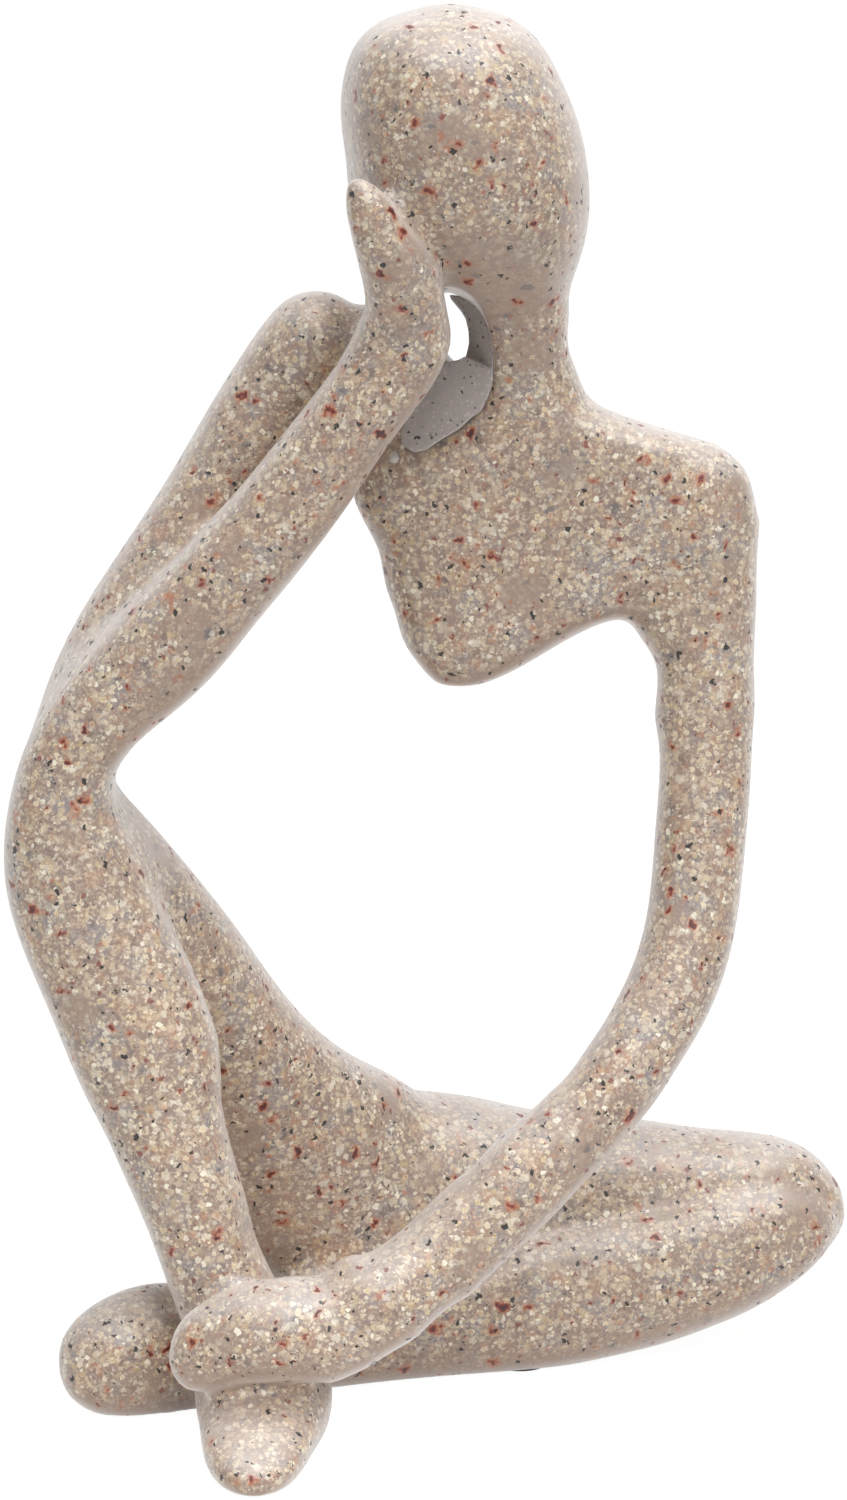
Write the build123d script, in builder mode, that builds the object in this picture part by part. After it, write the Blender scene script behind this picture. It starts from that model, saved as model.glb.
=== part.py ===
from build123d import *
import os
from math import copysign, cos, radians, sin

# A seated, faceless figure cast in sand-filled resin. It is four castings bonded together: the upper body
# with the left arm, the right arm, the raised leg and the folded leg. The origin is the middle of the
# footprint on the table, +X is to the right seen from the front, +Y runs to the back, +Z is up.

# Overall size
HEIGHT = 190.0
WIDTH = 114.0
DEPTH = 84.0

# Thickness of the body and the limbs, across in the front view
HEAD_WIDTH = 31.8
HEAD_DEPTH = 34.0
NECK_WIDTH = 13.3
NECK_DEPTH = 14.5
CHEST_WIDTH = 53.0
CHEST_DEPTH = 15.5
SHOULDER_THICKNESS = 13.5
UPPER_ARM_THICKNESS = 15.6
FOREARM_THICKNESS = 13.0
HAND_THICKNESS = 11.0
LEFT_SHOULDER_WIDTH = 18.1
LEFT_SHOULDER_DEPTH = 15.0
LEFT_ARM_THICKNESS = 12.7
LEFT_HAND_WIDTH = 15.0
LEFT_HAND_DEPTH = 12.5
SHIN_WIDTH = 21.0
SHIN_DEPTH = 16.5
FOOT_WIDTH = 19.3
FOOT_HEIGHT = 14.0
THIGH_WIDTH = 18.5
THIGH_DEPTH = 17.5
HIP_HEIGHT = 38.0
HIP_DEPTH = 27.0
FOLDED_SHIN_HEIGHT = 17.4
FOLDED_SHIN_DEPTH = 16.5

# Dowels, glue and pads
DOWEL_DIAMETER = 2.5
DOWEL_LENGTH = 12.0
THIN_DOWEL_DIAMETER = 2.0
THIN_DOWEL_LENGTH = 8.0
GLUE_GAP = 0.15
PAD_THICKNESS = 1.0
PAD_RECESS = 0.7
PAD_CLEARANCE = 0.2
WIDE_PAD_DIAMETER = 12.0
PAD_DIAMETER = 7.5
BEAD_DIAMETER = 1.7
# Where the drop of glue lies on the chest's skin, from the chest's middle
BEAD_SIDE_SHARE = 0.781
BEAD_FRONT_SHARE = 0.542

# Angle from which the cut faces of the grey filler were trimmed, down from level
TRIM_ANGLE = 13.0
# Where its corner lies on the neck's skin, from the neck's middle
FILLER_SIDE_SHARE = 0.566
FILLER_FRONT_SHARE = 0.880
FILLER_DEPTH = 6.0
WINDOW_DEPTH = 10.0
FILLER_CLEARING = 14.0

# Shape of a limb's cross-section: 2 is an ellipse, more is squarer
OVAL_SHARE = 2.15
BROAD_SHARE = 2.5
RING_POINTS = 8
RING_KNOTS = [i / RING_POINTS for i in range(RING_POINTS + 1)]
DOME_ANGLES = (28, 52, 70, 83)

FRONT = Vector(0, 1, 0)
UPRIGHT = Vector(0, 0, 1)

# Middle of the footprint, where the origin is, on the scale that the places below are given on
MIDDLE_X_SHARE = 0.0086
MIDDLE_Y_SHARE = -0.0008


def at(x_share, y_share, z_share):
    """A place in the figure, from shares of its width, depth and height."""
    return Vector((x_share - MIDDLE_X_SHARE) * WIDTH, (y_share - MIDDLE_Y_SHARE) * DEPTH, z_share * HEIGHT)


def stations(shares, width, depth):
    """Centre, half width and half depth of each cross-section, from shares of the overall size and the limb's own."""
    placed = []
    for x_share, y_share, z_share, width_share, depth_share in shares:
        placed.append((at(x_share, y_share, z_share), width_share * width / 2, depth_share * depth / 2))
    return placed


def ring(centre, along, depth_way, half_width, half_depth, squareness):
    """One closed cross-section, square to the limb."""
    upright = (depth_way - along * depth_way.dot(along)).normalized()
    plane = Plane(origin=centre, x_dir=upright.cross(along), z_dir=along)
    points = []
    for knot in RING_KNOTS[:-1]:
        angle = radians(360 * knot)
        across = copysign(abs(cos(angle)) ** (2 / squareness), cos(angle))
        deep = copysign(abs(sin(angle)) ** (2 / squareness), sin(angle))
        points.append((half_width * across, half_depth * deep))
    with BuildSketch(plane, mode=Mode.PRIVATE) as section:
        with BuildLine():
            add(Edge.make_spline(points, periodic=True, parameters=RING_KNOTS))
        make_face()
    return section.sketch


def dome(centre, along, half_width, half_depth, length):
    """Cross-sections that round off a limb's end, from the limb outwards."""
    placed = []
    for angle in DOME_ANGLES:
        reach = centre + along * (length * sin(radians(angle)))
        shrink = cos(radians(angle))
        placed.append((reach, half_width * shrink, half_depth * shrink))
    return placed


def limb(placed, depth_way=FRONT, along=None, start_dome=0, end_dome=0, squareness=OVAL_SHARE):
    """A smooth skin through a limb's cross-sections, with a rounded end where a dome length is given."""
    last = len(placed) - 1
    ways = []
    for i in range(len(placed)):
        run = placed[min(i + 1, last)][0] - placed[max(i - 1, 0)][0]
        ways.append(along if along else run.normalized())
    if start_dome:
        cap = dome(placed[0][0], -ways[0], placed[0][1], placed[0][2], start_dome)
        placed = cap[::-1] + placed
        ways = [ways[0]] * len(cap) + ways
    if end_dome:
        cap = dome(placed[-1][0], ways[-1], placed[-1][1], placed[-1][2], end_dome)
        placed = placed + cap
        ways = ways + [ways[-1]] * len(cap)
    sections = []
    for (centre, half_width, half_depth), way in zip(placed, ways):
        sections.append(ring(centre, way, depth_way, half_width, half_depth, squareness))
    loft(sections)


# Cross-sections, as shares: across, back and up of the overall size, then width and depth of the limb's own size

HEAD_SHARES = [
    (0.023, 0.012, 0.999, 0.10, 0.10),
    (0.023, 0.012, 0.994, 0.34, 0.35),
    (0.022, 0.012, 0.985, 0.59, 0.60),
    (0.022, 0.012, 0.970, 0.77, 0.79),
    (0.026, 0.012, 0.948, 0.89, 0.91),
    (0.034, 0.012, 0.920, 0.97, 0.99),
    (0.043, 0.012, 0.888, 0.99, 1.00),
    (0.047, 0.012, 0.860, 0.98, 0.96),
    (0.056, 0.018, 0.836, 0.88, 0.85),
    (0.074, 0.026, 0.813, 0.67, 0.67),
    (0.090, 0.036, 0.796, 0.51, 0.53),
]
NECK_SHARES = [
    (0.100, 0.043, 0.779, 1.05, 1.03),
    (0.102, 0.048, 0.761, 1.00, 1.00),
    (0.106, 0.054, 0.747, 1.06, 1.00),
    (0.107, 0.060, 0.732, 1.20, 1.02),
]
CHEST_SHARES = [
    (0.106, 0.060, 0.722, 0.35, 0.97),
    (0.112, 0.060, 0.710, 0.48, 1.00),
    (0.128, 0.060, 0.698, 0.69, 1.00),
    (0.140, 0.060, 0.686, 0.88, 1.00),
    (0.142, 0.060, 0.668, 0.99, 1.00),
    (0.146, 0.060, 0.645, 0.99, 1.00),
    (0.158, 0.060, 0.612, 0.93, 1.00),
    (0.147, 0.060, 0.594, 0.86, 1.00),
    (0.120, 0.058, 0.578, 0.71, 0.99),
    (0.087, 0.050, 0.567, 0.54, 0.95),
    (0.061, 0.042, 0.550, 0.39, 0.84),
    (0.048, 0.036, 0.535, 0.26, 0.68),
    (0.038, 0.032, 0.525, 0.15, 0.45),
    (0.034, 0.030, 0.522, 0.05, 0.16),
]
LEFT_SHOULDER_SHARES = [
    (0.301, 0.060, 0.695, 0.08, 0.10),
    (0.301, 0.060, 0.692, 0.32, 0.35),
    (0.301, 0.060, 0.686, 0.56, 0.60),
    (0.301, 0.060, 0.675, 0.79, 0.82),
    (0.302, 0.060, 0.660, 0.93, 0.94),
    (0.304, 0.060, 0.640, 1.00, 1.00),
    (0.304, 0.058, 0.607, 1.00, 1.00),
    (0.307, 0.052, 0.582, 0.97, 0.97),
    (0.314, 0.042, 0.563, 0.88, 0.92),
]
LEFT_ARM_SHARES = [
    (0.320, 0.036, 0.547, 1.09, 1.06),
    (0.323, 0.024, 0.522, 1.02, 1.03),
    (0.323, 0.006, 0.480, 0.98, 1.00),
    (0.320, -0.018, 0.440, 0.96, 0.98),
    (0.314, -0.042, 0.399, 0.95, 0.98),
    (0.305, -0.071, 0.359, 0.94, 0.98),
    (0.284, -0.107, 0.320, 0.93, 0.98),
    (0.251, -0.143, 0.286, 0.90, 0.98),
    (0.210, -0.179, 0.254, 0.88, 0.97),
    (0.162, -0.202, 0.228, 0.83, 0.96),
    (0.106, -0.226, 0.208, 0.95, 0.98),
    (0.046, -0.250, 0.187, 1.00, 0.98),
    (-0.018, -0.278, 0.162, 1.03, 0.98),
]
LEFT_HAND_SHARES = [
    (-0.087, -0.305, 0.132, 0.94, 1.00),
    (-0.152, -0.322, 0.109, 1.00, 1.02),
    (-0.210, -0.327, 0.096, 1.00, 0.96),
    (-0.258, -0.325, 0.083, 0.84, 0.76),
    (-0.284, -0.322, 0.075, 0.52, 0.46),
    (-0.296, -0.320, 0.071, 0.14, 0.14),
]
RIDGE_SHARES = [
    (0.100, 0.060, 0.686, 0.88, 0.88),
    (0.050, 0.066, 0.694, 0.91, 0.92),
    (0.020, 0.072, 0.700, 0.91, 0.96),
    (-0.029, 0.083, 0.735, 1.00, 1.00),
    (-0.087, 0.093, 0.752, 1.00, 0.98),
    (-0.120, 0.095, 0.752, 0.90, 0.90),
]
UPPER_ARM_SHARES = [
    (-0.134, 0.095, 0.755, 0.94, 0.95),
    (-0.161, 0.095, 0.730, 0.97, 1.00),
    (-0.190, 0.090, 0.703, 0.97, 1.02),
    (-0.227, 0.077, 0.667, 0.95, 1.00),
    (-0.268, 0.060, 0.629, 0.93, 0.98),
    (-0.310, 0.042, 0.592, 0.93, 0.96),
    (-0.352, 0.024, 0.554, 0.92, 0.94),
    (-0.384, 0.006, 0.520, 0.88, 0.92),
    (-0.411, -0.006, 0.487, 0.76, 0.90),
    (-0.421, -0.010, 0.453, 0.75, 0.90),
]
FOREARM_SHARES = [
    (-0.033, -0.119, 0.773, 0.95, 0.90),
    (-0.057, -0.119, 0.748, 0.91, 0.90),
    (-0.093, -0.119, 0.718, 0.90, 0.94),
    (-0.134, -0.119, 0.684, 0.95, 0.97),
    (-0.180, -0.119, 0.648, 0.99, 1.00),
    (-0.227, -0.119, 0.615, 1.03, 1.03),
    (-0.275, -0.117, 0.581, 1.08, 1.05),
    (-0.323, -0.110, 0.550, 1.08, 1.07),
    (-0.369, -0.102, 0.522, 0.99, 1.08),
    (-0.407, -0.097, 0.491, 0.94, 1.10),
    (-0.426, -0.095, 0.457, 1.01, 1.15),
]
HAND_SHARES = [
    (-0.084, -0.190, 0.892, 0.14, 0.14),
    (-0.080, -0.190, 0.885, 0.33, 0.34),
    (-0.069, -0.188, 0.871, 0.54, 0.58),
    (-0.050, -0.176, 0.846, 0.74, 0.80),
    (-0.031, -0.155, 0.819, 0.92, 0.96),
    (-0.027, -0.133, 0.796, 0.99, 1.00),
]
SHIN_SHARES = [
    (-0.423, -0.095, 0.423, 0.79, 0.95),
    (-0.407, -0.100, 0.381, 0.89, 1.00),
    (-0.377, -0.110, 0.339, 0.93, 1.00),
    (-0.346, -0.122, 0.297, 0.95, 1.00),
    (-0.318, -0.135, 0.255, 0.92, 0.97),
    (-0.291, -0.150, 0.213, 0.85, 0.93),
    (-0.266, -0.165, 0.171, 0.79, 0.89),
    (-0.247, -0.177, 0.136, 0.76, 0.86),
    (-0.229, -0.185, 0.101, 0.73, 0.85),
    (-0.216, -0.188, 0.066, 0.70, 0.85),
    (-0.209, -0.188, 0.030, 0.64, 0.80),
]
FOOT_SHARES = [
    (-0.214, -0.024, 0.030, 0.08, 0.14),
    (-0.214, -0.029, 0.030, 0.30, 0.46),
    (-0.213, -0.042, 0.031, 0.50, 0.78),
    (-0.210, -0.066, 0.032, 0.66, 1.02),
    (-0.201, -0.120, 0.036, 0.86, 1.25),
    (-0.196, -0.190, 0.036, 0.94, 1.17),
    (-0.193, -0.262, 0.031, 0.93, 1.04),
    (-0.197, -0.330, 0.024, 0.82, 0.84),
    (-0.200, -0.390, 0.018, 0.72, 0.66),
    (-0.201, -0.438, 0.013, 0.58, 0.49),
    (-0.201, -0.475, 0.010, 0.37, 0.32),
    (-0.201, -0.494, 0.008, 0.12, 0.14),
]
THIGH_SHARES = [
    (-0.391, 0.002, 0.412, 0.76, 0.86),
    (-0.337, 0.036, 0.363, 0.83, 0.93),
    (-0.290, 0.077, 0.315, 0.90, 1.00),
    (-0.251, 0.125, 0.257, 1.12, 1.08),
    (-0.219, 0.167, 0.209, 1.43, 1.16),
    (-0.175, 0.214, 0.163, 1.75, 1.24),
    (-0.102, 0.268, 0.121, 1.84, 1.26),
    (-0.020, 0.302, 0.094, 1.60, 1.12),
]
HIP_SHARES = [
    (-0.208, 0.232, 0.080, 0.12, 0.14),
    (-0.202, 0.236, 0.081, 0.40, 0.42),
    (-0.178, 0.250, 0.083, 0.66, 0.70),
    (-0.130, 0.276, 0.086, 0.86, 0.92),
    (-0.070, 0.296, 0.091, 0.97, 1.00),
    (-0.005, 0.312, 0.089, 0.97, 1.02),
    (0.060, 0.325, 0.086, 0.92, 1.01),
    (0.130, 0.336, 0.082, 0.855, 0.98),
    (0.220, 0.346, 0.080, 0.83, 0.90),
    (0.315, 0.350, 0.081, 0.75, 0.80),
    (0.390, 0.350, 0.088, 0.64, 0.70),
    (0.450, 0.350, 0.095, 0.50, 0.55),
    (0.490, 0.348, 0.098, 0.30, 0.34),
    (0.509, 0.346, 0.100, 0.11, 0.12),
]
FOLDED_SHIN_SHARES = [
    (0.495, 0.338, 0.099, 0.12, 0.12),
    (0.487, 0.333, 0.097, 0.36, 0.36),
    (0.458, 0.315, 0.090, 0.68, 0.72),
    (0.402, 0.288, 0.075, 0.94, 0.98),
    (0.329, 0.256, 0.061, 0.99, 1.04),
    (0.232, 0.218, 0.050, 0.99, 1.02),
    (0.135, 0.188, 0.041, 0.97, 1.00),
    (0.025, 0.159, 0.037, 0.94, 0.98),
    (-0.084, 0.118, 0.035, 0.91, 0.97),
    (-0.180, 0.068, 0.034, 0.92, 0.96),
    (-0.275, 0.006, 0.036, 1.02, 0.98),
    (-0.334, -0.030, 0.038, 1.06, 0.96),
    (-0.376, -0.060, 0.036, 0.94, 0.87),
    (-0.405, -0.081, 0.032, 0.74, 0.67),
    (-0.424, -0.095, 0.028, 0.44, 0.40),
    (-0.431, -0.100, 0.027, 0.15, 0.14),
]

# Outlines of the grey filler and of the hollow with its window, across and up from the filler's corner, as shares
# of the neck's width

CRESCENT_SHARES = [
    (-0.420, 0.780),
    (-0.300, 0.745),
    (-0.192, 0.671),
    (-0.122, 0.570),
    (-0.059, 0.444),
    (-0.015, 0.286),
    (0.000, 0.120),
    (0.000, 0.000),
    (-0.266, 0.138),
    (-0.240, 0.230),
    (-0.226, 0.310),
    (-0.232, 0.425),
    (-0.260, 0.552),
    (-0.312, 0.635),
    (-0.405, 0.745),
]
HOLLOW_SHARES = [
    (-0.430, 0.800),
    (-0.300, 0.745),
    (-0.192, 0.671),
    (-0.122, 0.570),
    (-0.059, 0.444),
    (-0.015, 0.286),
    (0.000, 0.120),
    (0.000, 0.000),
    (-0.266, 0.138),
    (-0.480, 0.130),
    (-0.500, 0.500),
    (-0.480, 0.780),
]
FACET_SHARES = [
    (0.000, 0.000),
    (-0.012, -0.150),
    (-0.055, -0.270),
    (-0.120, -0.400),
    (-0.205, -0.455),
    (-0.330, -0.570),
    (-0.500, -0.668),
    (-0.670, -0.780),
    (-0.785, -0.795),
    (-0.895, -0.715),
    (-0.905, -0.620),
    (-0.850, -0.430),
    (-0.750, -0.230),
    (-0.601, -0.055),
    (-0.450, 0.085),
    (-0.345, 0.099),
    (-0.266, 0.138),
]

# Flat joint faces between the castings, and the flat that the figure stands on
KNEE_SEAM = Plane(origin=at(-0.42, -0.05, 0.467), z_dir=UPRIGHT)
SHOULDER_SEAM = Plane(origin=at(-0.029, 0.083, 0.735), z_dir=(-0.82, 0.10, 0.57))
HIP_SEAM = Plane(origin=at(-0.120, 0.238, 0.158), z_dir=(0.79, 0.39, -0.48))
UNDERSIDE = Plane.XY.offset(PAD_THICKNESS - PAD_RECESS)

# The grey filler's corner on the neck, the way it was trimmed and its two flat faces
FILLER_SIDE = Vector(FILLER_SIDE_SHARE * NECK_WIDTH / 2, FILLER_FRONT_SHARE * NECK_DEPTH / 2, 0)
FILLER_CORNER = at(0.106, 0.054, 0.749) - FILLER_SIDE
TRIM_WAY = Vector(0, -cos(radians(TRIM_ANGLE)), sin(radians(TRIM_ANGLE)))
FILLER_PLANE = Plane(origin=FILLER_CORNER, x_dir=(1, 0, 0), z_dir=TRIM_WAY)
CRESCENT_FACE = Plane(origin=FILLER_CORNER, z_dir=(-0.87, -0.49, 0))
FACET_FACE = Plane(origin=FILLER_CORNER, z_dir=(-0.36, -0.86, 0.36))

# Places and ways of the dowels: half of each is in the one casting and half in the other
SHOULDER_DOWEL = Plane(origin=SHOULDER_SEAM.origin, z_dir=SHOULDER_SEAM.z_dir)
ELBOW_DOWEL = Plane(origin=at(-0.421, -0.060, 0.467), z_dir=UPRIGHT)
HIP_DOWEL = Plane(origin=HIP_SEAM.origin, z_dir=HIP_SEAM.z_dir)
HAND_DOWEL = Plane(origin=at(-0.190, -0.300, 0.064), z_dir=UPRIGHT)
ANKLE_DOWEL = Plane(origin=at(-0.212, -0.060, 0.035), z_dir=FRONT)

# Where the drop of glue lies, on the chest's skin beside the forearm
BEAD_SIDE = Vector(BEAD_SIDE_SHARE * CHEST_WIDTH / 2, BEAD_FRONT_SHARE * CHEST_DEPTH / 2, 0)
BEAD_PLACE = at(0.1405, 0.060, 0.685) - BEAD_SIDE

# Middles of the pads under the flats
FOOT_PAD = Plane(origin=at(-0.196, -0.235, 0))
ANKLE_PAD = Plane(origin=at(-0.320, -0.030, 0))
KNEE_PAD = Plane(origin=at(0.110, 0.180, 0))
HIP_PAD = Plane(origin=at(0.050, 0.325, 0))


def front_chain():
    """Hand, forearm, knee and shin in one skin."""
    palm = stations(HAND_SHARES, HAND_THICKNESS, HAND_THICKNESS)
    forearm = stations(FOREARM_SHARES, FOREARM_THICKNESS, FOREARM_THICKNESS)
    shin = stations(SHIN_SHARES, SHIN_WIDTH, SHIN_DEPTH)
    limb(palm + forearm + shin)


def back_chain():
    """Upper arm, knee and thigh in one skin, from the shoulder down into the hips."""
    upper_arm = stations(UPPER_ARM_SHARES, UPPER_ARM_THICKNESS, UPPER_ARM_THICKNESS)
    thigh = stations(THIGH_SHARES, THIGH_WIDTH, THIGH_DEPTH)
    limb(upper_arm + thigh, start_dome=UPPER_ARM_THICKNESS / 2)


def filler_prism(shares, depth):
    """A prism with an outline drawn on the trimming plane, from in front of the neck back into the casting."""
    with BuildSketch(FILLER_PLANE, mode=Mode.PRIVATE) as outline:
        with BuildLine():
            Polyline([(across * NECK_WIDTH, up * NECK_WIDTH) for across, up in shares], close=True)
        make_face()
    extrude(outline.sketch, amount=FILLER_CLEARING)
    extrude(outline.sketch, amount=-depth)


def bore(plane, diameter, length):
    """The hole for a dowel, with room for glue all round."""
    with BuildSketch(plane.offset(-length / 2 - GLUE_GAP), mode=Mode.PRIVATE) as hole:
        Circle(diameter / 2 + GLUE_GAP)
    extrude(hole.sketch, amount=length + 2 * GLUE_GAP, mode=Mode.SUBTRACT)


def dowel(plane, diameter, length):
    """A steel pin across a joint."""
    with BuildSketch(plane.offset(-length / 2), mode=Mode.PRIVATE) as pin:
        Circle(diameter / 2)
    extrude(pin.sketch, amount=length)


def recess(plane, diameter):
    """The shallow round pocket that a pad is stuck in."""
    with BuildSketch(plane, mode=Mode.PRIVATE) as pocket:
        Circle(diameter / 2 + PAD_CLEARANCE)
    extrude(pocket.sketch, amount=PAD_THICKNESS, mode=Mode.SUBTRACT)


def pad(plane, diameter):
    """A round pad that stands out below the casting."""
    with BuildSketch(plane, mode=Mode.PRIVATE) as disc:
        Circle(diameter / 2)
    extrude(disc.sketch, amount=PAD_THICKNESS)


# The raised leg: shin and foot in front, thigh behind, cut at the knee and at the hips

with BuildPart() as raised_shin:
    front_chain()
    split(bisect_by=KNEE_SEAM, keep=Keep.BOTTOM)
    limb(stations(FOOT_SHARES, FOOT_WIDTH, FOOT_HEIGHT), depth_way=UPRIGHT)

with BuildPart() as raised_thigh:
    back_chain()
    split(bisect_by=KNEE_SEAM, keep=Keep.BOTTOM)
    split(bisect_by=HIP_SEAM, keep=Keep.BOTTOM)

with BuildPart() as raised_leg:
    add(raised_shin.part)
    add(raised_thigh.part)
    split(bisect_by=UNDERSIDE, keep=Keep.TOP)
    bore(ELBOW_DOWEL, DOWEL_DIAMETER, DOWEL_LENGTH)
    bore(HIP_DOWEL, DOWEL_DIAMETER, DOWEL_LENGTH)
    bore(HAND_DOWEL, THIN_DOWEL_DIAMETER, THIN_DOWEL_LENGTH)
    bore(ANKLE_DOWEL, THIN_DOWEL_DIAMETER, THIN_DOWEL_LENGTH)
    recess(FOOT_PAD, PAD_DIAMETER)

# The folded leg: hips and folded thigh behind, shin in front, foot out to the left

with BuildPart() as hips:
    limb(stations(HIP_SHARES, HIP_HEIGHT, HIP_DEPTH), squareness=BROAD_SHARE)
    back_chain()
    split(bisect_by=HIP_SEAM, keep=Keep.TOP)

with BuildPart() as folded_leg:
    add(hips.part)
    limb(stations(FOLDED_SHIN_SHARES, FOLDED_SHIN_HEIGHT, FOLDED_SHIN_DEPTH))
    split(bisect_by=UNDERSIDE, keep=Keep.TOP)
    add(raised_shin.part, mode=Mode.SUBTRACT)
    bore(HIP_DOWEL, DOWEL_DIAMETER, DOWEL_LENGTH)
    bore(ANKLE_DOWEL, THIN_DOWEL_DIAMETER, THIN_DOWEL_LENGTH)
    recess(ANKLE_PAD, PAD_DIAMETER)
    recess(KNEE_PAD, PAD_DIAMETER)
    recess(HIP_PAD, WIDE_PAD_DIAMETER)

# The grey filler between wrist, neck and chest: a crescent beside the window and a facet under it

with BuildPart() as crescent_prism:
    filler_prism(CRESCENT_SHARES, WINDOW_DEPTH)

with BuildPart() as hollow_prism:
    filler_prism(HOLLOW_SHARES, WINDOW_DEPTH)

with BuildPart() as facet_prism:
    filler_prism(FACET_SHARES, FILLER_DEPTH)

with BuildPart() as facet:
    add(facet_prism.part)
    split(bisect_by=FACET_FACE, keep=Keep.BOTTOM)

with BuildPart() as seam_filler:
    add(crescent_prism.part)
    split(bisect_by=CRESCENT_FACE, keep=Keep.BOTTOM)
    add(facet.part)

# The upper body: head, neck and chest in one skin, left shoulder, arm and hand in another

with BuildPart() as trunk:
    head = stations(HEAD_SHARES, HEAD_WIDTH, HEAD_DEPTH)
    neck = stations(NECK_SHARES, NECK_WIDTH, NECK_DEPTH)
    chest = stations(CHEST_SHARES, CHEST_WIDTH, CHEST_DEPTH)
    limb(head + neck + chest, along=-UPRIGHT)

with BuildPart() as right_shoulder_root:
    limb(stations(RIDGE_SHARES, SHOULDER_THICKNESS, SHOULDER_THICKNESS))
    split(bisect_by=SHOULDER_SEAM, keep=Keep.BOTTOM)

with BuildPart() as upper_body:
    add(trunk.part)
    shoulder = stations(LEFT_SHOULDER_SHARES, LEFT_SHOULDER_WIDTH, LEFT_SHOULDER_DEPTH)
    arm = stations(LEFT_ARM_SHARES, LEFT_ARM_THICKNESS, LEFT_ARM_THICKNESS)
    hand = stations(LEFT_HAND_SHARES, LEFT_HAND_WIDTH, LEFT_HAND_DEPTH)
    limb(shoulder + arm + hand)
    add(right_shoulder_root.part)
    add(raised_shin.part, mode=Mode.SUBTRACT)
    add(hollow_prism.part, mode=Mode.SUBTRACT)
    add(facet_prism.part, mode=Mode.SUBTRACT)
    bore(SHOULDER_DOWEL, DOWEL_DIAMETER, DOWEL_LENGTH)
    bore(HAND_DOWEL, THIN_DOWEL_DIAMETER, THIN_DOWEL_LENGTH)

# The right arm: shoulder and upper arm behind, forearm and hand in front

with BuildPart() as right_shoulder:
    limb(stations(RIDGE_SHARES, SHOULDER_THICKNESS, SHOULDER_THICKNESS))
    back_chain()
    split(bisect_by=KNEE_SEAM, keep=Keep.TOP)
    split(bisect_by=SHOULDER_SEAM, keep=Keep.TOP)

with BuildPart() as right_forearm:
    front_chain()
    split(bisect_by=KNEE_SEAM, keep=Keep.TOP)
    add(trunk.part, mode=Mode.SUBTRACT)

with BuildPart() as right_arm:
    add(right_shoulder.part)
    add(right_forearm.part)
    bore(SHOULDER_DOWEL, DOWEL_DIAMETER, DOWEL_LENGTH)
    bore(ELBOW_DOWEL, DOWEL_DIAMETER, DOWEL_LENGTH)

# The clear drop of glue beside the forearm, sunk a little into the chest

with BuildPart() as glue_bead:
    with Locations(BEAD_PLACE):
        Sphere(BEAD_DIAMETER / 2)
    add(trunk.part, mode=Mode.SUBTRACT)

with BuildPart() as shoulder_dowel:
    dowel(SHOULDER_DOWEL, DOWEL_DIAMETER, DOWEL_LENGTH)

with BuildPart() as elbow_dowel:
    dowel(ELBOW_DOWEL, DOWEL_DIAMETER, DOWEL_LENGTH)

with BuildPart() as hip_dowel:
    dowel(HIP_DOWEL, DOWEL_DIAMETER, DOWEL_LENGTH)

with BuildPart() as hand_dowel:
    dowel(HAND_DOWEL, THIN_DOWEL_DIAMETER, THIN_DOWEL_LENGTH)

with BuildPart() as ankle_dowel:
    dowel(ANKLE_DOWEL, THIN_DOWEL_DIAMETER, THIN_DOWEL_LENGTH)

with BuildPart() as foot_pad:
    pad(FOOT_PAD, PAD_DIAMETER)

with BuildPart() as ankle_pad:
    pad(ANKLE_PAD, PAD_DIAMETER)

with BuildPart() as knee_pad:
    pad(KNEE_PAD, PAD_DIAMETER)

with BuildPart() as hip_pad:
    pad(HIP_PAD, WIDE_PAD_DIAMETER)

pieces = {
    "upper_body": upper_body,
    "right_arm": right_arm,
    "raised_leg": raised_leg,
    "folded_leg": folded_leg,
    "seam_filler": seam_filler,
    "glue_bead": glue_bead,
    "shoulder_dowel": shoulder_dowel,
    "elbow_dowel": elbow_dowel,
    "hip_dowel": hip_dowel,
    "hand_dowel": hand_dowel,
    "ankle_dowel": ankle_dowel,
    "foot_pad": foot_pad,
    "ankle_pad": ankle_pad,
    "knee_pad": knee_pad,
    "hip_pad": hip_pad,
}
os.makedirs("parts", exist_ok=True)
for name, piece in pieces.items():
    piece.part.label = name
    export_step(piece.part, f"parts/{name}.step")
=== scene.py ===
import math

import bpy
import numpy as np
from bpy.props import FloatProperty, FloatVectorProperty, IntProperty, PointerProperty
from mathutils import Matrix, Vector
from mathutils.bvhtree import BVHTree


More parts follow.
